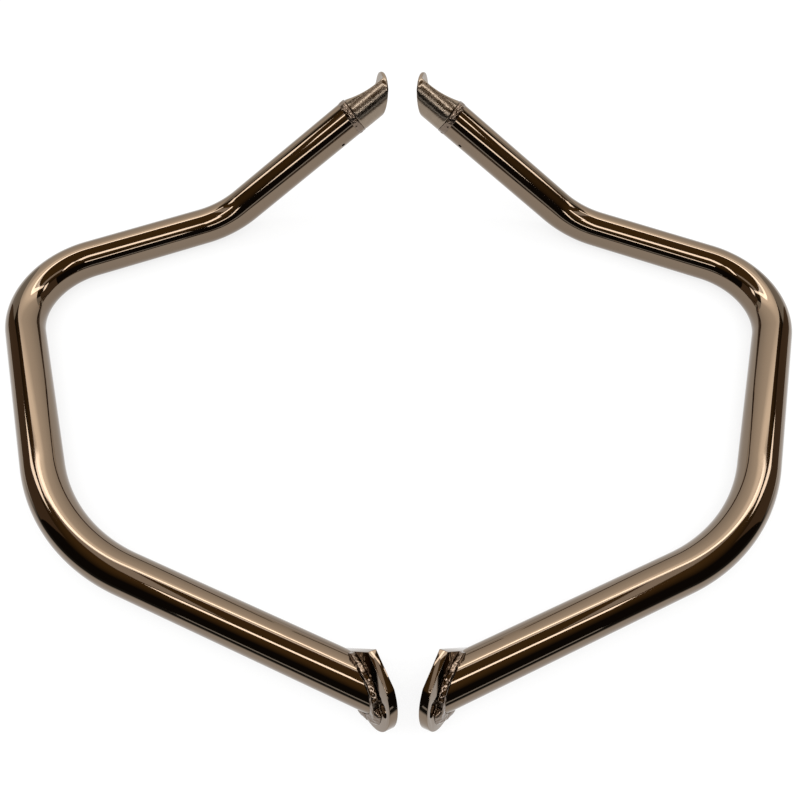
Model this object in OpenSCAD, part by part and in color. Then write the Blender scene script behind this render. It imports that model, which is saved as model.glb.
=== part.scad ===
// Pair of motorcycle crash bars, laid flat on the floor: two bent tube loops that mirror each other,
// each with a cast bolt end at the top and a bolted plate at the bottom.
// X runs across the pair, Y from the plates to the bolt ends, Z up from the floor.

/* [Tube] */
// Outside diameter of the bar
tube_d = 32; // [28:0.5:36]
// Wall of the bar
tube_wall = 2.5; // [1.5:0.1:4]

/* [Loop] */
// Distance from the middle of the pair to the corner between lower arm and side leg
lower_corner_x = 257; // [245:0.5:300]
// Distance of that corner below the middle of the set
lower_corner_y = 138.3; // [130:0.1:170]
// Length of the lower arm from that corner to the face of its plate
lower_arm_len = 247; // [225:0.5:255]
// Slope of the lower arm away from straight across, in degrees
lower_arm_slope = 24.1; // [20:0.1:28]
// Length of the side leg between its two corners
side_leg_len = 265.5; // [240:0.5:320]
// Outward lean of the side leg, in degrees
side_leg_lean = 19.2; // [15:0.1:24]
// Length of the upper arm from the upper corner to the corner of the end bend
upper_arm_len = 194; // [180:0.5:220]
// Slope of the upper arm away from straight across, in degrees
upper_arm_slope = 23.6; // [20:0.1:28]
// Centreline radius of the lower bend
lower_bend_r = 148; // [110:1:170]
// Centreline radius of the upper bend
upper_bend_r = 70; // [50:1:90]

/* [End arm] */
// Angle by which the end arm rises out of the flat loop, in degrees
end_rise = 30.5; // [20:0.5:40]
// Centreline radius of the end bend
end_bend_r = 86; // [60:1:110]
// Length of the end arm from the corner of the end bend to the middle of its weld
end_arm_len = 153; // [120:0.5:180]
// Diameter of the vent hole
vent_d = 3.5; // [2:0.5:6]
// Distance of the vent hole from the weld
vent_back = 18; // [12:1:40]
// Turn of the vent hole around the end arm from its top, in degrees
vent_turn = 112; // [60:1:150]

/* [Cast end] */
// Length of the cast end along its centreline, from the middle of the weld to the mounting face
cast_len = 36.5; // [32:0.5:50]
// Tilt of the mounting face towards the floor, in degrees
face_tilt = 40; // [35:0.5:45]
// Turn of the mounting face towards the plates, in degrees
face_turn = 9; // [0:0.5:15]
// Reach of the mounting face's tip from its middle
tip_reach = 16; // [14:0.5:20]
// Radius to which that tip is rounded
tip_r = 18; // [16.5:0.5:24]
// Thickness of the end wall that is bolted to the motorcycle
end_wall = 3.5; // [2.5:0.5:6]
// Thickness of the side wall round the bolt pocket
pocket_wall = 4; // [3:0.5:6]
// Depth of the saddle scooped out of the cast end
saddle_depth = 7; // [5:0.5:9]
// Radius of the saddle
saddle_r = 86; // [70:1:110]
// Turn of the saddle around the cast end from its top, in degrees
saddle_turn = 41; // [20:1:60]
// Diameter of the bolt hole in the end wall
upper_bolt_d = 10.5; // [8.5:0.5:12.5]
// Length of the spigot that plugs into the bar
spigot_len = 8; // [5:0.5:12]
// Clearance between spigot and bar
spigot_gap = 0.15; // [0.1:0.05:0.3]

/* [Lower plate] */
// Thickness of the plate
plate_t = 6; // [4:0.5:10]
// Height of the plate
plate_h = 50.5; // [46:0.5:60]
// Reach of the nose from the centreline of the bar
nose_reach = 36.5; // [34:0.5:45]
// Reach of the tail from the centreline of the bar
tail_reach = 29; // [28:0.5:40]
// Radius of the nose
nose_r = 28; // [26:1:40]
// Slant of the tail, in degrees, so that the top edge is shorter than the bottom edge
tail_slant = 24; // [0:1:26]
// Turn of the plate from the length of the set, in degrees
plate_turn = 25; // [20:0.5:30]
// Lean of the plate's top towards the middle of the pair, in degrees
plate_lean = 16; // [8:0.5:20]
// Diameter of the bolt hole in the plate
lower_bolt_d = 9; // [7:0.5:11]
// Distance of the bolt hole from the centreline of the bar towards the nose
lower_bolt_reach = 26.5; // [25:0.5:28]
// Distance of the bolt hole above the centreline of the bar, up the plate
lower_bolt_rise = 18; // [16:0.5:22]
// Diameter around the bolt hole that the weld leaves clear for the bolt's head
bolt_seat_d = 14; // [12:0.5:16]

/* [Welds] */
// Width of the ring weld between bar and cast end
ring_weld_w = 6; // [4:0.5:8]
// Height of the ring weld above the bar
ring_weld_h = 0.8; // [0.6:0.1:2]
// Leg of the fillet weld between bar and plate
fillet_leg = 3.5; // [2.5:0.5:5]

/* [Hidden] */
round_facets = 96;
bend_facets = 240;
$fn = round_facets;
tube_r = tube_d / 2;
bore_r = tube_r - tube_wall;
spigot_r = bore_r - spigot_gap;
pocket_r = tube_r - pocket_wall;
// Radius of the ring weld's crown, whose edges run out on the bar's surface
crown_r = (pow(ring_weld_w / 2, 2) + pow(ring_weld_h, 2)) / (2 * ring_weld_h);
// Headings of the three runs of the right-hand bar, and the bends between them
lower_heading = lower_arm_slope;
side_heading = 90 - side_leg_lean;
upper_heading = 180 - upper_arm_slope;
lower_bend_a = side_heading - lower_heading;
upper_bend_a = upper_heading - side_heading;
// Length that each bend takes from the runs that meet in its corner
lower_bend_take = lower_bend_r * tan(lower_bend_a / 2);
upper_bend_take = upper_bend_r * tan(upper_bend_a / 2);
end_bend_take = end_bend_r * tan(end_rise / 2);
// Straight stretches between the bends
lower_run = lower_arm_len - lower_bend_take;
side_run = side_leg_len - lower_bend_take - upper_bend_take;
upper_run = upper_arm_len - upper_bend_take - end_bend_take;
end_run = end_arm_len - end_bend_take - ring_weld_w / 2;
// Where the centreline of the right-hand bar meets the face of its plate
foot_x = lower_corner_x - lower_arm_len * cos(lower_heading);
foot_y = -lower_corner_y - lower_arm_len * sin(lower_heading);
// Height of that point above the plate's lower edge, whose inner corner stands on the floor
plate_drop = (tube_r - plate_t * sin(plate_lean)) / cos(plate_lean);
// Lap of a straight run into a bend, and what the bend loses in radius
bend_lap = 0.5;
bend_draw = 0.02;
// Straight stub that the mitre at the foot cuts away
mitre_room = 2 * tube_d;
// Size of the blocks that cut away everything past a face
beyond = 4 * tube_d;
// Overhang of a cutting tool past the surface that it starts from
cut_over = 1;
STEEL = "#655a50";
CAST = "#7a6e64";
PLATE = "#70645a";
WELD = "#4c443d";

module along(length) translate([length, 0, 0]) children();

module past_bend(bend_r, angle)
    translate([bend_r * sin(angle), bend_r * (1 - cos(angle)), 0]) rotate([0, 0, angle]) children();

module straight(length, r) rotate([0, 90, 0]) cylinder(h = length, r = r);

module bend(bend_r, angle, r)
    translate([0, bend_r, 0]) rotate([0, 0, -90])
        rotate_extrude(angle = angle, $fn = bend_facets) translate([bend_r, 0]) circle(r = r, $fn = round_facets);

// Children sit where the bar's centreline meets the face of its plate, with X along the lower arm
module at_foot() translate([foot_x, foot_y, tube_r]) rotate([0, 0, lower_heading]) children();

// Children sit at the end of the bar, with X along the end arm, Y up its rise and Z out of the loop
module at_bar_end()
    at_foot() along(lower_run) past_bend(lower_bend_r, lower_bend_a)
        along(side_run) past_bend(upper_bend_r, upper_bend_a)
            along(upper_run) rotate([90, 0, 0]) past_bend(end_bend_r, end_rise)
                along(end_run) children();

// Solid rod along the whole bar, with a straight stub before its foot for the mitre to cut. Each run
// laps into the bends beside it, where the rod is drawn a little thinner. It can run past the bar's end.
module rod(r, overrun = 0) at_foot() {
    along(-mitre_room) straight(mitre_room + lower_run + bend_lap, r);
    along(lower_run) {
        bend(lower_bend_r, lower_bend_a, r - bend_draw);
        past_bend(lower_bend_r, lower_bend_a) {
            along(-bend_lap) straight(side_run + 2 * bend_lap, r);
            along(side_run) {
                bend(upper_bend_r, upper_bend_a, r - bend_draw);
                past_bend(upper_bend_r, upper_bend_a) {
                    along(-bend_lap) straight(upper_run + 2 * bend_lap, r);
                    along(upper_run) rotate([90, 0, 0]) {
                        bend(end_bend_r, end_rise, r - bend_draw);
                        past_bend(end_bend_r, end_rise)
                            along(-bend_lap) straight(bend_lap + end_run + overrun, r);
                    }
                }
            }
        }
    }
}

// Children sit on the face of the plate, with X to its nose, Y out of the face and Z up the plate
module on_plate()
    translate([foot_x, foot_y, tube_r]) rotate([plate_lean, 0, -90 - plate_turn]) children();

// Block in front of the face that children sit on, or behind it
module front_block() translate([-beyond, 0, -beyond]) cube([2 * beyond, beyond, 2 * beyond]);

// Children sit in the middle of the mounting face, with X out of it
module on_mounting_face()
    at_bar_end() along(ring_weld_w / 2 + cast_len)
        rotate([0, 0, -face_tilt]) rotate([0, face_turn, 0]) children();

// Half space on the bar's side of a plane that lies a set depth behind the mounting face
module behind_face(depth)
    on_mounting_face() translate([-depth - 2 * beyond, -beyond, -beyond]) cube(2 * beyond);

// Everything but the far tip of the mounting face, which is rounded off
module rounded_tip() on_mounting_face() {
    translate([0, tip_reach - tip_r, 0]) rotate([0, 90, 0]) cylinder(h = 2 * beyond, r = tip_r, center = true);
    translate([-beyond, -2 * beyond + tip_reach - tip_r, -beyond]) cube(2 * beyond);
}

module bar() difference() {
    rod(tube_r);
    rod(bore_r, cut_over);
    on_plate() mirror([0, 1, 0]) front_block();
    at_bar_end() along(-vent_back) rotate([-90 - vent_turn, 0, 0]) cylinder(h = tube_d, d = vent_d);
}

// Cast end: a round stub cut off at the mounting face, with a bolt pocket that its saddle opens
module cast_end() difference() {
    union() {
        intersection() {
            at_bar_end() along(ring_weld_w) straight(beyond, tube_r);
            behind_face(0);
            rounded_tip();
        }
        at_bar_end() along(-spigot_len) straight(spigot_len + 2 * ring_weld_w, spigot_r);
    }
    intersection() {
        union() {
            at_bar_end() along(ring_weld_w + pocket_wall) straight(beyond, pocket_r);
            at_bar_end() along(ring_weld_w / 2 + cast_len) rotate([saddle_turn, 0, 0])
                translate([0, tube_r - saddle_depth + saddle_r, -tube_d])
                    cylinder(h = 2 * tube_d, r = saddle_r, $fn = bend_facets);
        }
        behind_face(end_wall);
    }
    on_mounting_face() along(-end_wall - cut_over) straight(end_wall + 2 * cut_over, upper_bolt_d / 2);
}

// Ring weld: fills the gap between bar and cast end, with a crown that stands above both
module ring_weld() at_bar_end() rotate([0, 90, 0]) rotate_extrude() intersection() {
    translate([spigot_r, 0]) square([tube_r + ring_weld_h - spigot_r, ring_weld_w]);
    translate([tube_r + ring_weld_h - crown_r, ring_weld_w / 2]) circle(r = crown_r);
}

// Outline of the plate: flat above and below, with a round nose and a slanted tail
module plate_outline() translate([0, -plate_drop]) intersection() {
    translate([-tail_reach, 0]) square([tail_reach + nose_reach, plate_h]);
    union() {
        translate([nose_reach - nose_r, plate_h / 2]) circle(r = nose_r);
        translate([-tail_reach, 0]) square([tail_reach + nose_reach - nose_r, plate_h]);
    }
    translate([-tail_reach, 0]) rotate(-tail_slant) translate([0, -plate_h]) square(3 * plate_h);
}

module lower_plate() on_plate() difference() {
    rotate([90, 0, 0]) linear_extrude(plate_t) plate_outline();
    translate([lower_bolt_reach, cut_over, lower_bolt_rise]) rotate([90, 0, 0])
        cylinder(h = plate_t + 2 * cut_over, d = lower_bolt_d);
}

// Fillet weld: a collar round the bar that lies on the plate, from the middle of its tail over the top
// and round the nose side to the floor, clear of the bolt's head
module fillet_weld() difference() {
    intersection() {
        at_foot() along(-mitre_room) straight(2 * mitre_room, tube_r + fillet_leg);
        on_plate() mirror([0, 1, 0]) rotate([90, 0, 0]) linear_extrude(fillet_leg) plate_outline();
    }
    at_foot() along(-mitre_room) straight(2 * mitre_room, tube_r);
    on_plate() translate([lower_bolt_reach, 0, lower_bolt_rise]) rotate([-90, 0, 0])
        translate([0, 0, -cut_over]) cylinder(h = beyond, d = bolt_seat_d);
    on_plate() translate([-beyond, -beyond, -beyond]) cube([beyond, 2 * beyond, beyond]);
}

module left_bar() color(STEEL) mirror([1, 0, 0]) bar();
module left_cast_end() color(CAST) mirror([1, 0, 0]) cast_end();
module left_ring_weld() color(WELD) mirror([1, 0, 0]) ring_weld();
module left_lower_plate() color(PLATE) mirror([1, 0, 0]) lower_plate();
module left_fillet_weld() color(WELD) mirror([1, 0, 0]) fillet_weld();
module right_bar() color(STEEL) bar();
module right_cast_end() color(CAST) cast_end();
module right_ring_weld() color(WELD) ring_weld();
module right_lower_plate() color(PLATE) lower_plate();
module right_fillet_weld() color(WELD) fillet_weld();

left_bar();
left_cast_end();
left_ring_weld();
left_lower_plate();
left_fillet_weld();
right_bar();
right_cast_end();
right_ring_weld();
right_lower_plate();
right_fillet_weld();
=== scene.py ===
"""A pair of motorcycle crash bars in dark chrome, lying flat as a set.

Each half is a bent tube with a cast bolt end welded to one end and a bolt plate to the other. The
frame's right-hand half is modelled, and the left-hand half is its mirror image.
"""

import math

import bmesh
import bpy
from bpy.props import FloatProperty, FloatVectorProperty, PointerProperty
from mathutils import Euler, Matrix, Vector, noise


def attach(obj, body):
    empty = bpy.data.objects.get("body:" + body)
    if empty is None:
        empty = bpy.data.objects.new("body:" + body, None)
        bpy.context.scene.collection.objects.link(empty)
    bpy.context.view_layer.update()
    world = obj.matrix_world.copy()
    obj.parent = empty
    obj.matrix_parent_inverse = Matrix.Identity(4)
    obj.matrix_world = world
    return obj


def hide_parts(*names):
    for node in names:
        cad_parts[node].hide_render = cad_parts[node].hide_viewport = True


bl_info = {
    "name": "Crash bars",
    "version": (1, 0, 0),
    "blender": (4, 5, 0),
    "location": "3D View > Sidebar > Crash bars",
    "description": "Builds a pair of chromed motorcycle crash bars over their frame",
    "category": "Add Mesh",
}

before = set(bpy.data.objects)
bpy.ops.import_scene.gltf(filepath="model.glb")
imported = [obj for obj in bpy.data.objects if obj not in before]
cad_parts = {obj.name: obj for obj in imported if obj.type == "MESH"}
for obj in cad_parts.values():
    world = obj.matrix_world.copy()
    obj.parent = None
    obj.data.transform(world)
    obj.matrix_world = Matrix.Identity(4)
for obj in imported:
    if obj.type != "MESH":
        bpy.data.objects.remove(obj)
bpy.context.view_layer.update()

SIDES = ("left", "right")
MM = 0.001
UP = Vector((0, 0, 1))
# Segments round the tube, its bore and a drilled hole, the turn between two rings of a bend, and
# the short steps that end each run, so that the shading of a bend stays off the straight tube
TUBE_SEGMENTS = 128
BORE_SEGMENTS = 48
HOLE_SEGMENTS = 48
BEND_STEP = math.radians(0.75)
BORE_BEND_STEP = math.radians(4)
RUN_END = 2 * MM
# Edges sharper than this are rounded over or left as creases
SHARP = math.radians(30)
# CAD corners closer than this are one corner, and CAD facets that turn less than this are one face
SAME_PLACE = 0.002 * MM
SAME_FACE = math.radians(0.4)
# Facets across a plate's rounded edge
EDGE_FACETS = 5
# Rounds of smoothing that wear down the edges of the castings and of the weld beads
CAST_WEAR = 40
BEAD_WEAR = 6
# Size of the faces of a weld bead, and each bead's height of lumps and lumps to the metre
BEAD_GRAIN = 0.35 * MM
BEADS = {"ring_weld": (0.4 * MM, 330), "fillet_weld": (0.6 * MM, 180)}
# Height and number of a bead's finer lumps, as multiples of those of the broad ones
FINE_HEIGHT = 0.5
FINE_NUMBER = 2.3
# Share of its CAD height that the ring bead keeps, and how many times as long it gets
RING_HEIGHT = 0.4
RING_LENGTH = 1.12

# Stage, in metres. A lamp's radiance of 1 looks white.
FLOOR_REACH = 8
FLOOR_COLOUR = (0.97, 0.97, 0.97)
# Share of the floor's light that shadows leave alone
FLOOR_GLOW = 0.8
# Painted reflection: for the chrome, the floor goes dark over these slants, 0 for square on and
# 1 for edge-on, and over these places along the set, down to a faint glow painted for the room
GRAZING = (0.7, 0.82)
NEAR_SIDE = (-0.05, -0.15)
PAINTED_REFLECTION_GLOW = 0.03
ROOM_RADIUS = 6
CEILING_HEIGHTS = (3.3, 5.0)
WALL_COLOUR = (0.015, 0.012, 0.010)
CEILING_COLOUR = (0.17, 0.10, 0.035)
BACKDROP_COLOUR = (1, 0.95, 0.88)
# Heights up the backdrop, from 0 to 1, and how light it is there. Its upper edge is white.
BACKDROP_TONES = ((0, 0.26), (0.3, 0.4), (0.5, 0.48), (0.62, 0.8), (0.72, 0.85), (0.8, 0.45))
BACKDROP_STRENGTH = 3.3
WING_END = 2.1
WING_TOP = 1.4
CURTAIN_NEAR = -0.3
CURTAIN_TOP = 1.7
WINDOW_REACH = 2.5
WINDOW_Y = -2.6
WINDOW_HEIGHTS = (0.02, 0.3)
# Each lamp's name, the two places that it hangs between, its width and its radiance. The side
# lamps are those of the right-hand side.
MIDDLE_LAMP = ("middle_lamp", (-0.3, -0.58), (0.3, -0.58), 0.3, 5)
SIDE_LAMPS = (
    ("near_lamp", (0.3, -0.43), (0.98, -0.43), 0.17, 5.5),
    ("far_lamp", (0, 0.95), (1.1, 0.62), 0.15, 4.5),
    ("rear_lamp", (0, -2.2), (0.78, -1.73), 0.3, 4.5),
    ("side_lamp", (1.35, 0.42), (2.1, 0.8), 0.28, 4.5),
    ("tan_card", (0.79, 0.66), (0.79, -0.25), 0.3, 0.75),
)
# Width of the camera's sensor in millimetres
SENSOR_WIDTH = 36


def mm(value, name, description):
    """A length property whose default is written in millimetres."""
    return FloatProperty(
        name=name, description=description, default=value * MM, unit="LENGTH", precision=5
    )


def degrees(value, name, description):
    """An angle property whose default is written in degrees."""
    return FloatProperty(
        name=name, description=description, default=math.radians(value), subtype="ANGLE"
    )


def colour(value, name, description):
    """A colour property."""
    return FloatVectorProperty(
        name=name, description=description, default=value, subtype="COLOR", min=0, max=1
    )


class CrashBarShape(bpy.types.PropertyGroup):
    """Sizes of the right-hand bar and of its rounded edges."""

    tube_d: mm(32, "Tube diameter", "Outside diameter of the bar")
    tube_wall: mm(2.5, "Tube wall", "Wall of the bar")
    corner_x: mm(257, "Lower corner across", "Middle of the pair to the lower corner")
    corner_y: mm(138.3, "Lower corner down", "Middle of the set to the lower corner")
    lower_arm: mm(247, "Lower arm", "Lower corner to the face of the plate")
    lower_slope: degrees(24.1, "Lower slope", "Slope of the lower arm from straight across")
    side_leg: mm(265.5, "Side leg", "Length between the two corners")
    side_lean: degrees(19.2, "Side lean", "Outward lean of the side leg")
    upper_arm: mm(194, "Upper arm", "Upper corner to the corner of the end bend")
    upper_slope: degrees(23.6, "Upper slope", "Slope of the upper arm from straight across")
    lower_bend_r: mm(148, "Lower bend", "Centreline radius of the lower bend")
    upper_bend_r: mm(70, "Upper bend", "Centreline radius of the upper bend")
    end_rise: degrees(30.5, "End rise", "Angle by which the end arm rises")
    end_bend_r: mm(86, "End bend", "Centreline radius of the end bend")
    end_arm: mm(153, "End arm", "Corner of the end bend to the middle of the ring weld")
    weld_width: mm(6, "Ring weld width", "Width of the weld between bar and cast end")
    vent_d: mm(3.5, "Vent diameter", "Diameter of the vent hole")
    vent_back: mm(18, "Vent place", "Distance of the vent hole from the end of the bar")
    vent_turn: degrees(112, "Vent turn", "Turn of the vent hole around the end arm")
    plate_turn: degrees(25, "Plate turn", "Turn of the plate from the length of the set")
    plate_lean: degrees(16, "Plate lean", "Lean of the plate's top towards the middle")
    plate_edge: mm(1.1, "Plate edge", "Rounding along the edges of the plate")
    cast_grain: mm(0.45, "Cast detail", "Size of the finest shape on the cast end")


class CrashBarFinish(bpy.types.PropertyGroup):
    """Colours of the dark chrome on its different grounds."""

    polished: colour((0.203, 0.153, 0.111), "Polished chrome", "Chrome over polished tube")
    casting: colour((0.26, 0.207, 0.158), "Casting", "Chrome over the grainy casting")
    weld: colour((0.190, 0.145, 0.112), "Weld", "Chrome over the weld beads")


class CrashBarStudio(bpy.types.PropertyGroup):
    """Camera and studio."""

    lens: FloatProperty(name="Lens", description="Focal length in mm", default=35.15, min=10)
    camera_place: FloatVectorProperty(
        name="Camera place",
        description="Place of the camera in the frame of the set",
        default=(-0.0152, -0.3657, 0.5518),
        subtype="TRANSLATION",
    )
    camera_turn: FloatVectorProperty(
        name="Camera turn",
        description="Turn of the camera about X, Y and Z",
        default=tuple(math.radians(a) for a in (33.126, -1.018, -0.502)),
        subtype="EULER",
    )
    backdrop_y: mm(1300, "Backdrop", "Distance of the backdrop from the set")
    backdrop_w: mm(2600, "Backdrop width", "Width of the backdrop")
    backdrop_h: mm(2900, "Backdrop height", "Height of the backdrop")
    lamp_h: mm(1500, "Lamp height", "Height of the lamps above the floor")


# Mesh helpers


def finished(name, bm, smooth=True):
    """A new object that holds bm's mesh, with its place in the mesh."""
    mesh = bpy.data.meshes.new(name)
    bm.to_mesh(mesh)
    bm.free()
    for face in mesh.polygons:
        face.use_smooth = smooth
    piece = bpy.data.objects.new(name, mesh)
    bpy.context.scene.collection.objects.link(piece)
    return piece


def stands_for(piece, node, material):
    """The piece takes a node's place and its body."""
    piece.data.materials.clear()
    piece.data.materials.append(material)
    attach(piece, "root")
    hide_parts(node)


def merged_copy(node):
    """A bmesh of a CAD node with its loose triangles joined into one closed mesh."""
    bm = bmesh.new()
    bm.from_mesh(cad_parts[node].data)
    bmesh.ops.remove_doubles(bm, verts=bm.verts, dist=SAME_PLACE)
    return bm


def mirrored(bm):
    """Turns a right-hand piece into a left-hand one."""
    bmesh.ops.scale(bm, vec=(-1, 1, 1), verts=bm.verts)
    bmesh.ops.reverse_faces(bm, faces=bm.faces)
    return bm


def for_side(bm, side):
    """A copy of a right-hand bmesh for the given side."""
    own = bm.copy()
    return mirrored(own) if side == "left" else own


def closed(bm):
    """Closes the open ends of a shell and turns its faces outwards."""
    bmesh.ops.holes_fill(bm, edges=[e for e in bm.edges if e.is_boundary])
    bmesh.ops.recalc_face_normals(bm, faces=bm.faces)


def discard(piece):
    """Removes a helper object and its mesh."""
    mesh = piece.data
    bpy.data.objects.remove(piece)
    bpy.data.meshes.remove(mesh)


def through_modifiers(bm, *settings):
    """bm's mesh after the given modifiers, each a type and its values."""
    piece = finished("rough_shape", bm)
    for kind, values in settings:
        modifier = piece.modifiers.new(kind, kind)
        for key, value in values.items():
            setattr(modifier, key, value)
    depsgraph = bpy.context.evaluated_depsgraph_get()
    shaped = bmesh.new()
    shaped.from_object(piece, depsgraph)
    discard(piece)
    return shaped


def remeshed(bm, voxel, rounds):
    """bm as an even skin of small faces, with its edges worn round by some rounds of smoothing."""
    skin = through_modifiers(bm, ("REMESH", {"mode": "VOXEL", "voxel_size": voxel}))
    for _ in range(rounds):
        bmesh.ops.smooth_vert(
            skin, verts=skin.verts, factor=0.5, use_axis_x=True, use_axis_y=True, use_axis_z=True
        )
    return skin


def ring_of(verts):
    """The edges that run between the given vertices only."""
    inside = set(verts)
    edges = [e for v in verts for e in v.link_edges if e.verts[0] is v]
    return [e for e in edges if e.verts[1] in inside]


def ring_at(bm, place, heading, radius, segments):
    """A circle of edges round a place, square to the heading."""
    turn = heading.to_track_quat("Z", "Y").to_matrix().to_4x4()
    made = bmesh.ops.create_circle(
        bm, segments=segments, radius=radius, matrix=Matrix.Translation(place) @ turn
    )
    return ring_of(made["verts"])


def run_on(bm, ring, heading, length):
    """Draws a ring of edges on along its heading, with a short step at each end."""
    for step in (RUN_END, length - 2 * RUN_END, RUN_END):
        made = bmesh.ops.spin(bm, geom=ring, axis=heading, angle=0, dvec=heading * step, steps=1)
        ring = [g for g in made["geom_last"] if isinstance(g, bmesh.types.BMEdge)]
    return ring


def bend_on(bm, ring, centre, axis, angle, step):
    """Spins a ring of edges on round a bend."""
    steps = max(1, round(angle / step))
    made = bmesh.ops.spin(bm, geom=ring, cent=centre, axis=axis, angle=angle, steps=steps)
    return [g for g in made["geom_last"] if isinstance(g, bmesh.types.BMEdge)]


# The bar's route


def plate_frame(shape):
    """Where the bar meets its plate, and the plate's turn: X to its nose, Y out of its face."""
    slope = shape.lower_slope
    foot = Vector(
        (
            shape.corner_x - shape.lower_arm * math.cos(slope),
            -shape.corner_y - shape.lower_arm * math.sin(slope),
            shape.tube_d / 2,
        )
    )
    turn = Matrix.Rotation(-math.pi / 2 - shape.plate_turn, 3, "Z")
    lean = Matrix.Rotation(shape.plate_lean, 3, "X")
    return foot, turn @ lean


def bar_route(shape):
    """The runs and bends of the right-hand bar, in order from its plate to its ring weld.

    A run is ("run", heading, length). A bend is ("bend", heading, centre side, radius, angle).
    """
    lower = shape.lower_slope
    side = math.pi / 2 - shape.side_lean
    upper = math.pi - shape.upper_slope
    lower_take = shape.lower_bend_r * math.tan((side - lower) / 2)
    upper_take = shape.upper_bend_r * math.tan((upper - side) / 2)
    end_take = shape.end_bend_r * math.tan(shape.end_rise / 2)

    def along(angle):
        return Vector((math.cos(angle), math.sin(angle), 0))

    def left_of(angle):
        return along(angle + math.pi / 2)

    end_heading = along(upper) * math.cos(shape.end_rise) + UP * math.sin(shape.end_rise)
    end_run = shape.end_arm - end_take - shape.weld_width / 2
    return (
        ("run", along(lower), shape.lower_arm - lower_take),
        ("bend", along(lower), left_of(lower), shape.lower_bend_r, side - lower),
        ("run", along(side), shape.side_leg - lower_take - upper_take),
        ("bend", along(side), left_of(side), shape.upper_bend_r, upper - side),
        ("run", along(upper), shape.upper_arm - upper_take - end_take),
        ("bend", along(upper), UP, shape.end_bend_r, shape.end_rise),
        ("run", end_heading, end_run),
    )


def past_bend(place, heading, side, radius, angle):
    """Where a bend ends that starts at a place."""
    return place + heading * (radius * math.sin(angle)) + side * (radius * (1 - math.cos(angle)))


def bar_end(shape):
    """Where the right-hand bar ends, and its heading there."""
    place = plate_frame(shape)[0]
    heading = UP
    for kind, heading, *rest in bar_route(shape):
        if kind == "run":
            place = place + heading * rest[0]
        else:
            place = past_bend(place, heading, *rest)
    return place, heading


def vent_heading(shape):
    """The way out of the vent hole, square to the end arm."""
    heading = bar_end(shape)[1]
    flat = Vector((heading.x, heading.y, 0)).normalized()
    rise = UP * flat.dot(heading) - flat * heading.z
    across = heading.cross(rise)
    angle = -math.pi / 2 - shape.vent_turn
    return -rise * math.sin(angle) + across * math.cos(angle)


def swept(shape, radius, segments, bend_step, overrun=0):
    """A closed rod of the given radius along the whole bar, from a stub before its foot."""
    bm = bmesh.new()
    foot = plate_frame(shape)[0]
    route = bar_route(shape)
    heading = route[0][1]
    stub = 2 * shape.tube_d
    start = ring_at(bm, foot - heading * stub, heading, radius, segments)
    ring = run_on(bm, start, heading, stub)
    place = foot
    for kind, heading, *rest in route:
        if kind == "run":
            ring = run_on(bm, ring, heading, rest[0])
            place = place + heading * rest[0]
        else:
            side, bend_r, angle = rest
            axis = heading.cross(side)
            ring = bend_on(bm, ring, place + side * bend_r, axis, angle, bend_step)
            place = past_bend(place, heading, side, bend_r, angle)
    if overrun:
        bmesh.ops.spin(bm, geom=ring, axis=heading, angle=0, dvec=heading * overrun, steps=1)
    closed(bm)
    return bm


def rod_cutter(place, heading, radius, length):
    """A round rod that cuts a hole, from a place along its heading."""
    bm = bmesh.new()
    turn = heading.to_track_quat("Z", "Y").to_matrix().to_4x4()
    bmesh.ops.create_cone(
        bm,
        cap_ends=True,
        segments=HOLE_SEGMENTS,
        radius1=radius,
        radius2=radius,
        depth=length,
        matrix=Matrix.Translation(place + heading * (length / 2)) @ turn,
    )
    return bm


def mitred(bm, shape):
    """Cuts a rod off at the face of the plate."""
    foot, turn = plate_frame(shape)
    near = {v for v in bm.verts if (v.co - foot).length < shape.lower_arm}
    near_edges = [e for e in bm.edges if near.issuperset(e.verts)]
    near_faces = [f for f in bm.faces if near.issuperset(f.verts)]
    bmesh.ops.bisect_plane(
        bm,
        geom=[*near, *near_edges, *near_faces],
        plane_co=foot,
        plane_no=turn @ Vector((0, 1, 0)),
        clear_inner=True,
    )
    closed(bm)
    return bm


def bar_mesh(shape):
    """The right-hand bar: a rod cut off at the plate, less its bore and its vent hole."""
    tube_r = shape.tube_d / 2
    bore_r = tube_r - shape.tube_wall
    end, heading = bar_end(shape)
    vent_place = end - heading * shape.vent_back
    drill = rod_cutter(vent_place, vent_heading(shape), shape.vent_d / 2, shape.tube_d)
    bore = finished("bore", swept(shape, bore_r, BORE_SEGMENTS, BORE_BEND_STEP, RUN_END))
    vent = finished("vent", drill)
    rod = mitred(swept(shape, tube_r, TUBE_SEGMENTS, BEND_STEP), shape)
    cuts = [
        ("BOOLEAN", {"object": tool, "operation": "DIFFERENCE", "solver": "EXACT"})
        for tool in (bore, vent)
    ]
    bar = through_modifiers(rod, *cuts)
    discard(bore)
    discard(vent)
    return bar


# Materials


def feed(node, inputs):
    """Gives each input of a node its value, or links it to another node's output."""
    for socket, value in inputs:
        if isinstance(value, bpy.types.NodeSocket):
            node.id_data.links.new(value, node.inputs[socket])
        else:
            node.inputs[socket].default_value = value


def add(tree, kind, inputs=(), **settings):
    """A new node in a tree, with its settings and its inputs."""
    node = tree.nodes.new(kind)
    for key, value in settings.items():
        setattr(node, key, value)
    feed(node, inputs)
    return node


def clouds(tree, place, scale, detail):
    """Noise that drifts between 0 and 1 over an object."""
    inputs = [("Vector", place), ("Scale", scale), ("Detail", detail)]
    return add(tree, "ShaderNodeTexNoise", inputs).outputs["Fac"]


def mapped(tree, value, start, end, low=0, high=1):
    """Goes from low to high while the value goes from start to end."""
    inputs = [("Value", value), ("From Min", start), ("From Max", end)]
    inputs += [("To Min", low), ("To Max", high)]
    return add(tree, "ShaderNodeMapRange", inputs).outputs["Result"]


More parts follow.
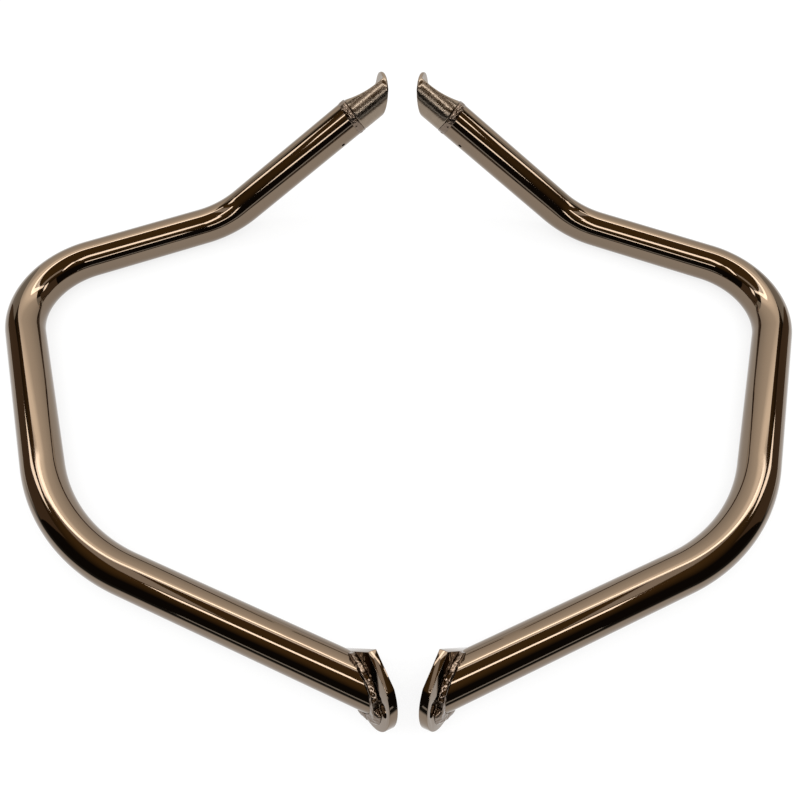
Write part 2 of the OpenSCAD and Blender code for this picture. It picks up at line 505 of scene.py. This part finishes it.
def blend(tree, share, first, second):
    """A colour that goes from the first to the second."""
    inputs = [("Factor", share), ("A", (*first, 1)), ("B", (*second, 1))]
    return add(tree, "ShaderNodeMix", inputs, data_type="RGBA").outputs["Result"]


def tones(tree, share, tone, darkest, lightest):
    """A colour that goes from a darker to a lighter shade of one tone."""
    return blend(tree, share, [c * darkest for c in tone], [c * lightest for c in tone])


def bumps(tree, height, strength, distance, more=()):
    """The surface's heading where it is raised by up to a distance."""
    inputs = [("Height", height), ("Strength", strength), ("Distance", distance), *more]
    return add(tree, "ShaderNodeBump", inputs).outputs["Normal"]


def metal_material(name, tone, roughness):
    """A metal material, its node tree, its shader and the object's own coordinates."""
    material = bpy.data.materials.new(name)
    material.use_nodes = True
    tree = material.node_tree
    shader = tree.nodes["Principled BSDF"]
    feed(shader, [("Metallic", 1.0), ("Base Color", (*tone, 1)), ("Roughness", roughness)])
    return material, tree, shader, add(tree, "ShaderNodeTexCoord").outputs["Object"]


def polished_chrome(name, tone, waviness):
    """Dark chrome over polished steel, with faint waves, haze and tone drifting over it."""
    material, tree, shader, place = metal_material(name, tone, 0.05)
    haze = clouds(tree, place, 18, 5)
    drift = clouds(tree, place, 9, 3)
    waves = clouds(tree, place, 60, 1)
    looks = [
        ("Roughness", mapped(tree, haze, 0.3, 0.75, 0.03, 0.075)),
        ("Base Color", tones(tree, drift, tone, 0.94, 1.06)),
        ("Normal", bumps(tree, waves, waviness, 0.1 * MM)),
    ]
    feed(shader, looks)
    return material


def grainy_chrome(name, tone, grain_scale, grain, roughness_range):
    """Dark chrome over a surface left grainy, as cast or as welded."""
    material, tree, shader, place = metal_material(name, tone, roughness_range[0])
    haze = clouds(tree, place, 160, 4)
    pits = bumps(tree, clouds(tree, place, grain_scale, 3), grain, 0.15 * MM)
    lumps = clouds(tree, place, grain_scale / 5, 2)
    looks = [
        ("Roughness", mapped(tree, haze, 0.3, 0.7, *roughness_range)),
        ("Base Color", tones(tree, haze, tone, 0.8, 1.15)),
        ("Normal", bumps(tree, lumps, grain, 0.4 * MM, [("Normal", pits)])),
    ]
    feed(shader, looks)
    return material


# Pieces


class CRASHBARS_OT_bars(bpy.types.Operator):
    """Bent tubes of both halves, with their bores and vent holes"""

    bl_idname = "crashbars.bars"
    bl_label = "Bars"

    def execute(self, context):
        shape = context.scene.crash_bar_shape
        chrome = polished_chrome("tube_chrome", context.scene.crash_bar_finish.polished, 0.12)
        right = bar_mesh(shape)
        for side in SIDES:
            bar = finished(f"{side}_tube", for_side(right, side))
            bar.data.set_sharp_from_angle(angle=SHARP)
            stands_for(bar, f"{side}_bar", chrome)
        right.free()
        return {"FINISHED"}


class CRASHBARS_OT_cast_ends(bpy.types.Operator):
    """Cast bolt ends of both halves, with worn edges and a grainy skin"""

    bl_idname = "crashbars.cast_ends"
    bl_label = "Cast ends"

    def execute(self, context):
        shape = context.scene.crash_bar_shape
        tone = context.scene.crash_bar_finish.casting
        chrome = grainy_chrome("cast_chrome", tone, 1500, 0.22, (0.16, 0.24))
        right = remeshed(merged_copy("right_cast_end"), shape.cast_grain, CAST_WEAR)
        for side in SIDES:
            piece = finished(f"{side}_bolt_end", for_side(right, side))
            stands_for(piece, f"{side}_cast_end", chrome)
        right.free()
        return {"FINISHED"}


class CRASHBARS_OT_plates(bpy.types.Operator):
    """Bolt plates of both halves, with rounded edges"""

    bl_idname = "crashbars.plates"
    bl_label = "Bolt plates"

    def execute(self, context):
        shape = context.scene.crash_bar_shape
        chrome = polished_chrome("plate_chrome", context.scene.crash_bar_finish.polished, 0.3)
        right = merged_copy("right_lower_plate")
        bmesh.ops.dissolve_limit(
            right, angle_limit=SAME_FACE, verts=right.verts, edges=right.edges
        )
        rims = [e for e in right.edges if e.is_manifold and e.calc_face_angle() > SHARP]
        bmesh.ops.bevel(
            right,
            geom=rims,
            offset=shape.plate_edge,
            offset_type="OFFSET",
            segments=EDGE_FACETS,
            profile=0.5,
            affect="EDGES",
            clamp_overlap=True,
            material=-1,
        )
        for side in SIDES:
            piece = finished(f"{side}_bolt_plate", for_side(right, side))
            stands_for(piece, f"{side}_lower_plate", chrome)
        right.free()
        return {"FINISHED"}


def flattened(bm, shape):
    """Brings the ring bead's top closer to the tube, and its sides onto the bar and cast end."""
    heading = bar_end(shape)[1]
    middle = sum((vert.co for vert in bm.verts), Vector()) / len(bm.verts)
    tube_r = shape.tube_d / 2
    for vert in bm.verts:
        offset = vert.co - middle
        along = offset.dot(heading)
        outward = offset - heading * along
        height = outward.length - tube_r
        if height > 0:
            outward.length = tube_r + RING_HEIGHT * height
        vert.co = middle + heading * (along * RING_LENGTH) + outward


def lumpy(bm, lump, pitch):
    """Raises and lowers a bead's skin by broad lumps and by finer ones."""
    bm.normal_update()
    for vert in bm.verts:
        fine = FINE_HEIGHT * noise.noise(vert.co * pitch * FINE_NUMBER)
        swell = noise.noise(vert.co * pitch) + fine
        vert.co += vert.normal * (swell * lump)


class CRASHBARS_OT_welds(bpy.types.Operator):
    """Ring welds and fillet welds of both halves, with lumpy beads"""

    bl_idname = "crashbars.welds"
    bl_label = "Welds"

    def execute(self, context):
        tone = context.scene.crash_bar_finish.weld
        chrome = grainy_chrome("weld_chrome", tone, 500, 0.3, (0.08, 0.2))
        for weld, (lump, pitch) in BEADS.items():
            right = remeshed(merged_copy(f"right_{weld}"), BEAD_GRAIN, BEAD_WEAR)
            if weld == "ring_weld":
                flattened(right, context.scene.crash_bar_shape)
            lumpy(right, lump, pitch)
            for side in SIDES:
                piece = finished(f"{side}_{weld}_bead", for_side(right, side))
                stands_for(piece, f"{side}_{weld}", chrome)
            right.free()
        return {"FINISHED"}


# Stage


def bare_material(name):
    """A material with an empty node tree, and the tree."""
    material = bpy.data.materials.new(name)
    material.use_nodes = True
    material.node_tree.nodes.clear()
    return material, material.node_tree


def ends_in(tree, surface):
    """The tree's material looks as the given shader output says."""
    add(tree, "ShaderNodeOutputMaterial", [("Surface", surface)])


def emission(tree, *inputs):
    """Plain light from a surface."""
    return add(tree, "ShaderNodeEmission", inputs).outputs["Emission"]


def axes(tree):
    """Outputs for how far across, along and up a place is in its object."""
    place = add(tree, "ShaderNodeTexCoord").outputs["Object"]
    return add(tree, "ShaderNodeSeparateXYZ", [("Vector", place)]).outputs


def maths(tree, operation, first, second):
    """The result of an operation on two values."""
    inputs = [(0, first), (1, second)]
    return add(tree, "ShaderNodeMath", inputs, operation=operation).outputs["Value"]


def mixed(tree, share, first, second):
    """A mix of two shader outputs, all of the second where the share is 1."""
    inputs = [("Fac", share), (1, first), (2, second)]
    return add(tree, "ShaderNodeMixShader", inputs).outputs["Shader"]


def glow(name, light, strength):
    """A plain glowing material."""
    material, tree = bare_material(name)
    ends_in(tree, emission(tree, ("Color", (*light, 1)), ("Strength", strength)))
    return material


def backdrop_material(top):
    """Tan backdrop paper with a brightly lit band two thirds of the way up."""
    material, tree = bare_material("backdrop_paper")
    light = add(tree, "ShaderNodeValToRGB", [("Fac", mapped(tree, axes(tree)["Z"], 0, top))])
    ramp = light.color_ramp.elements
    for position, level in BACKDROP_TONES:
        ramp.new(position).color = (*[level * c for c in BACKDROP_COLOUR], 1)
    # A new ramp goes from black to white. The black start gives way to the first tone.
    ramp.remove(ramp[0])
    paper = ("Color", light.outputs["Color"])
    ends_in(tree, emission(tree, paper, ("Strength", BACKDROP_STRENGTH)))
    return material


def room_material():
    """Near-black walls and a dim brown ceiling."""
    material, tree = bare_material("dark_room")
    share = mapped(tree, axes(tree)["Z"], *CEILING_HEIGHTS)
    ends_in(tree, emission(tree, ("Color", blend(tree, share, WALL_COLOUR, CEILING_COLOUR))))
    return material


def floor_material():
    """White floor that keeps part of the object's soft shadow.

    The chrome sees the floor on the camera's side darken towards the horizon, a painted reflection
    of the room that the floor shows to glossy rays only.
    """
    material, tree = bare_material("white_floor")
    ray = add(tree, "ShaderNodeLightPath").outputs
    seen = maths(tree, "MAXIMUM", ray["Is Camera Ray"], ray["Is Glossy Ray"])
    seen = maths(tree, "MAXIMUM", seen, ray["Is Transmission Ray"])
    paint = add(tree, "ShaderNodeBsdfDiffuse", [("Color", (*FLOOR_COLOUR, 1))]).outputs["BSDF"]
    shine = emission(tree, ("Strength", 1.0))
    white = mixed(tree, maths(tree, "MULTIPLY", seen, FLOOR_GLOW), paint, shine)

    # Painted reflection of the room: at a slant on the near side, glossy rays see a faint glow
    slant = add(tree, "ShaderNodeLayerWeight", [("Blend", 0.5)]).outputs["Facing"]
    grazing = mapped(tree, slant, *GRAZING)
    near_side = mapped(tree, axes(tree)["Y"], *NEAR_SIDE)
    mirrored = maths(tree, "MULTIPLY", grazing, near_side)
    mirrored = maths(tree, "MULTIPLY", mirrored, ray["Is Glossy Ray"])
    # Faint glow painted on the floor as the room's reflection
    room = emission(tree, ("Strength", PAINTED_REFLECTION_GLOW))
    ends_in(tree, mixed(tree, mirrored, white, room))
    return material


def panel(name, corners, material):
    """A flat stage panel through four corners."""
    bm = bmesh.new()
    bm.faces.new([bm.verts.new(c) for c in corners])
    made = finished(name, bm, smooth=False)
    made.data.materials.append(material)
    return made


def seen_only_in_chrome(stage_piece):
    """Keeps a stage piece out of the camera's view and out of the floor's light."""
    stage_piece.visible_camera = False
    stage_piece.visible_diffuse = False
    stage_piece.visible_shadow = False
    stage_piece.visible_transmission = False


def screen(name, start, end, heights, material):
    """An upright stage panel between two places, which only the chrome sees."""
    low, high = heights
    corners = [(*start, low), (*end, low), (*end, high), (*start, high)]
    seen_only_in_chrome(panel(name, corners, material))


def screens(studio):
    """Backdrop beyond the set, a wing at each of its sides and a curtain from each wing's end."""
    y, edge = studio.backdrop_y, studio.backdrop_w / 2
    top = studio.backdrop_h
    screen("backdrop", (-edge, y), (edge, y), (0, top), backdrop_material(top))
    for side in (-1, 1):
        corner = (side * WING_END, y)
        paper = glow(f"wing_paper_{side}", (1, 0.97, 0.9), 0.6)
        screen(f"wing_{side}", (side * edge, y), corner, (0, WING_TOP), paper)
        near = (side * WING_END, CURTAIN_NEAR)
        cloth = glow(f"curtain_cloth_{side}", (0.9, 0.62, 0.4), 0.2)
        screen(f"curtain_{side}", corner, near, (0, CURTAIN_TOP), cloth)


def dark_room():
    """A round dark room about the whole stage, which only the chrome sees."""
    room = bmesh.new()
    bmesh.ops.create_uvsphere(room, u_segments=48, v_segments=24, radius=ROOM_RADIUS)
    bmesh.ops.reverse_faces(room, faces=room.faces)
    walls = finished("dark_room", room)
    walls.data.materials.append(room_material())
    seen_only_in_chrome(walls)


def strip_light(name, start, end, width, radiance, height):
    """A long lamp that hangs between two places at a height and faces down."""
    start, end = Vector((*start, height)), Vector((*end, height))
    length = (end - start).length
    data = bpy.data.lights.new(name, "AREA")
    data.shape = "RECTANGLE"
    data.size = length
    data.size_y = width
    data.energy = radiance * math.pi * length * width
    lamp = bpy.data.objects.new(name, data)
    turn = math.atan2(end.y - start.y, end.x - start.x)
    lamp.matrix_world = Matrix.Translation((start + end) / 2) @ Matrix.Rotation(turn, 4, "Z")
    lamp.visible_camera = False
    bpy.context.scene.collection.objects.link(lamp)


def strip_lights(height):
    """The lamp over the middle and those of both sides."""
    strip_light(*MIDDLE_LAMP, height)
    for side in (-1, 1):
        for name, start, end, width, radiance in SIDE_LAMPS:
            start = (side * start[0], start[1])
            end = (side * end[0], end[1])
            strip_light(f"{name}_{side}", start, end, width, radiance, height)


def white_world():
    """A white world, which lights the floor and shows past its edges."""
    world = bpy.data.worlds.new("white_studio")
    world.use_nodes = True
    feed(world.node_tree.nodes["Background"], [("Color", (1, 1, 1, 1)), ("Strength", 1.0)])
    return world


def photo_camera(studio):
    """A camera fitted to the photo."""
    data = bpy.data.cameras.new("camera")
    data.lens = studio.lens
    data.sensor_width = SENSOR_WIDTH
    camera = bpy.data.objects.new("camera", data)
    turn = Euler(studio.camera_turn).to_matrix().to_4x4()
    camera.matrix_world = Matrix.Translation(studio.camera_place) @ turn
    bpy.context.scene.collection.objects.link(camera)
    return camera


class CRASHBARS_OT_studio(bpy.types.Operator):
    """White floor and backdrop, dark room seen in the chrome, lamps and camera"""

    bl_idname = "crashbars.studio"
    bl_label = "Studio"

    def execute(self, context):
        scene = context.scene
        studio = scene.crash_bar_studio
        far = FLOOR_REACH
        corners = [(-far, -far, 0), (far, -far, 0), (far, far, 0), (-far, far, 0)]
        panel("floor", corners, floor_material())
        screens(studio)
        dark_room()
        strip_lights(studio.lamp_h)
        left, right = (-WINDOW_REACH, WINDOW_Y), (WINDOW_REACH, WINDOW_Y)
        daylight = glow("far_daylight", (0.9, 0.95, 1), 0.8)
        screen("far_window", left, right, WINDOW_HEIGHTS, daylight)
        scene.world = white_world()
        scene.camera = photo_camera(studio)
        scene.view_settings.view_transform = "Standard"
        return {"FINISHED"}


class CRASHBARS_PT_panel(bpy.types.Panel):
    """Sizes, colours and steps of the crash bars"""

    bl_idname = "CRASHBARS_PT_panel"
    bl_label = "Crash bars"
    bl_space_type = "VIEW_3D"
    bl_region_type = "UI"
    bl_category = "Crash bars"

    def draw(self, context):
        scene = context.scene
        for group in (scene.crash_bar_shape, scene.crash_bar_finish, scene.crash_bar_studio):
            for key in group.bl_rna.properties.keys():
                if key not in ("rna_type", "name"):
                    self.layout.prop(group, key)
        for step in STEPS:
            self.layout.operator(step.bl_idname)


STEPS = (
    CRASHBARS_OT_bars,
    CRASHBARS_OT_cast_ends,
    CRASHBARS_OT_plates,
    CRASHBARS_OT_welds,
    CRASHBARS_OT_studio,
)
CLASSES = (CrashBarShape, CrashBarFinish, CrashBarStudio, *STEPS, CRASHBARS_PT_panel)


def register():
    """Registers the classes and their settings."""
    for entry in CLASSES:
        bpy.utils.register_class(entry)
    bpy.types.Scene.crash_bar_shape = PointerProperty(type=CrashBarShape)
    bpy.types.Scene.crash_bar_finish = PointerProperty(type=CrashBarFinish)
    bpy.types.Scene.crash_bar_studio = PointerProperty(type=CrashBarStudio)


def unregister():
    """Takes the settings and the classes back out."""
    del bpy.types.Scene.crash_bar_studio
    del bpy.types.Scene.crash_bar_finish
    del bpy.types.Scene.crash_bar_shape
    for entry in reversed(CLASSES):
        bpy.utils.unregister_class(entry)


def main():
    """Builds the pair and its studio."""
    register()
    bpy.ops.crashbars.bars()
    bpy.ops.crashbars.cast_ends()
    bpy.ops.crashbars.plates()
    bpy.ops.crashbars.welds()
    bpy.ops.crashbars.studio()


if __name__ == "__main__":
    main()
